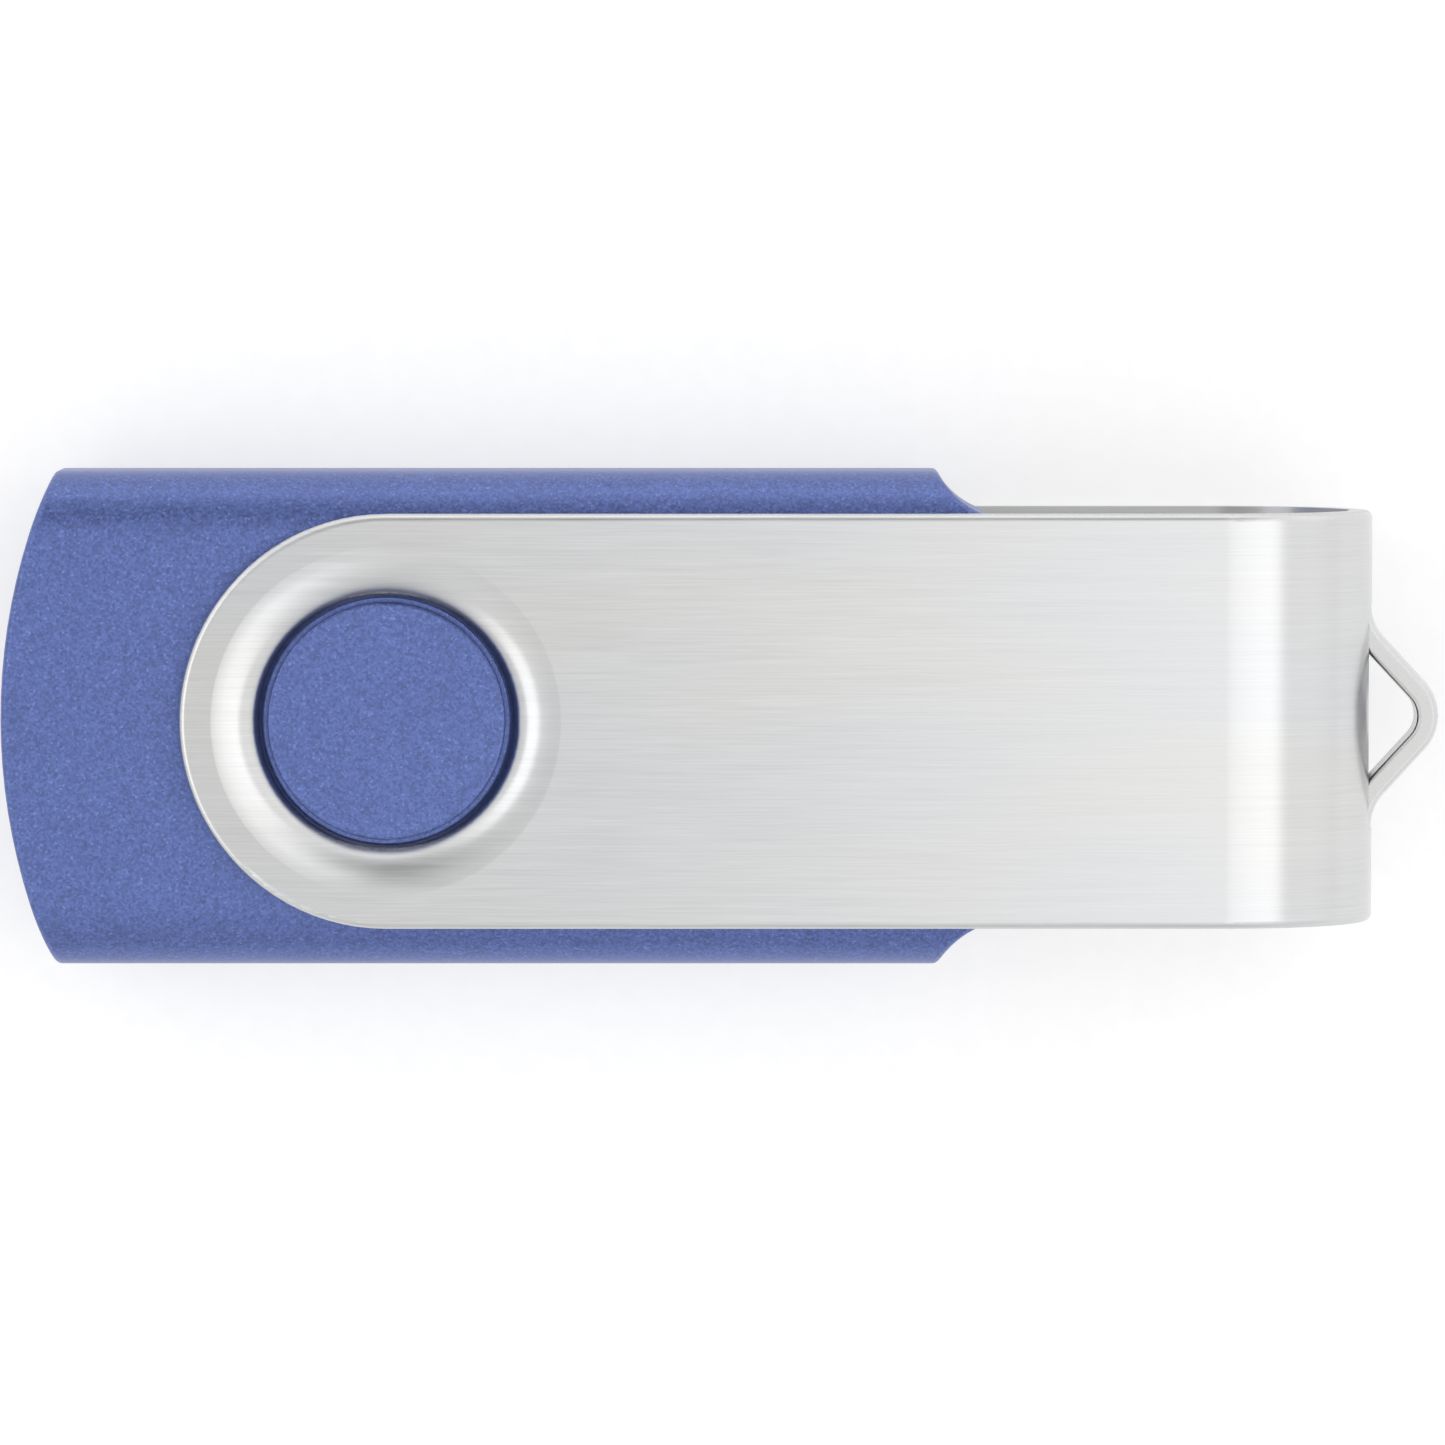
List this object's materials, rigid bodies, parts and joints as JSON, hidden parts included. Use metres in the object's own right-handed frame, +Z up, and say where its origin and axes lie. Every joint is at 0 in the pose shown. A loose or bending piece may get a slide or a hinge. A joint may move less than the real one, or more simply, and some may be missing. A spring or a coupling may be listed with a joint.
{
  "type": "usb flash drive",
  "caption": "Swivel USB flash drive with a rounded two-shell plastic body, a metal clip that turns about a round pivot to cover the plug, and a key loop.",
  "frame": {"origin": "on the surface the drive lies on, under the middle of its length and width, with the clip closed", "axes": "+X from the rounded rear end to the key loop, +Y across the width, +Z up through the thickness"},
  "size_m": [0.057, 0.0196, 0.0102],
  "materials": {
    "clip_aluminium": "fine lengthwise brushed aluminium sheet",
    "shell_plastic": "ABS with a satin metallic blue finish",
    "plug_steel": "nickel-plated steel sheet",
    "insulator_plastic": "black glass-filled plastic",
    "contact_gold": "gold-plated bronze",
    "board_laminate": "green solder mask on glass-epoxy laminate",
    "pad_copper": "gold-flashed copper",
    "chip_plastic": "black epoxy moulding",
    "lead_tin": "matte tin plate",
    "crystal_ceramic": "dark alumina",
    "crystal_lid": "nickel-plated lid",
    "capacitor_ceramic": "tan ceramic",
    "resistor_body": "black-coated ceramic",
    "solder": "solder, satin"
  },
  "bodies": {
    "drive_body": {"upper_shell": "shell_plastic", "lower_shell": "shell_plastic", "plug_shell": "plug_steel", "plug_insulator": "insulator_plastic", "vbus_contact": "contact_gold", "data_minus_contact": "contact_gold", "data_plus_contact": "contact_gold", "ground_contact": "contact_gold", "circuit_board": "board_laminate", "board_pads": "pad_copper", "flash_chip": "chip_plastic", "flash_chip_leads": "lead_tin", "controller_chip": "chip_plastic", "controller_leads": "lead_tin", "crystal_base": "crystal_ceramic", "crystal_can": "crystal_lid", "voltage_regulator": "chip_plastic", "regulator_leads": "lead_tin", "ceramic_capacitors": "capacitor_ceramic", "capacitor_terminals": "lead_tin", "chip_resistors": "resistor_body", "resistor_terminals": "lead_tin", "contact_solder": "solder", "leg_solder": "solder"},
    "swivel": {"swivel_clip": "clip_aluminium"}
  },
  "joints": [
    {"name": "clip_swivel", "type": "hinge", "parent": "drive_body", "child": "swivel", "pos_m": [-0.01325, 0, 0.0051], "axis": [0, 0, 1], "continuous": true}
  ]
}
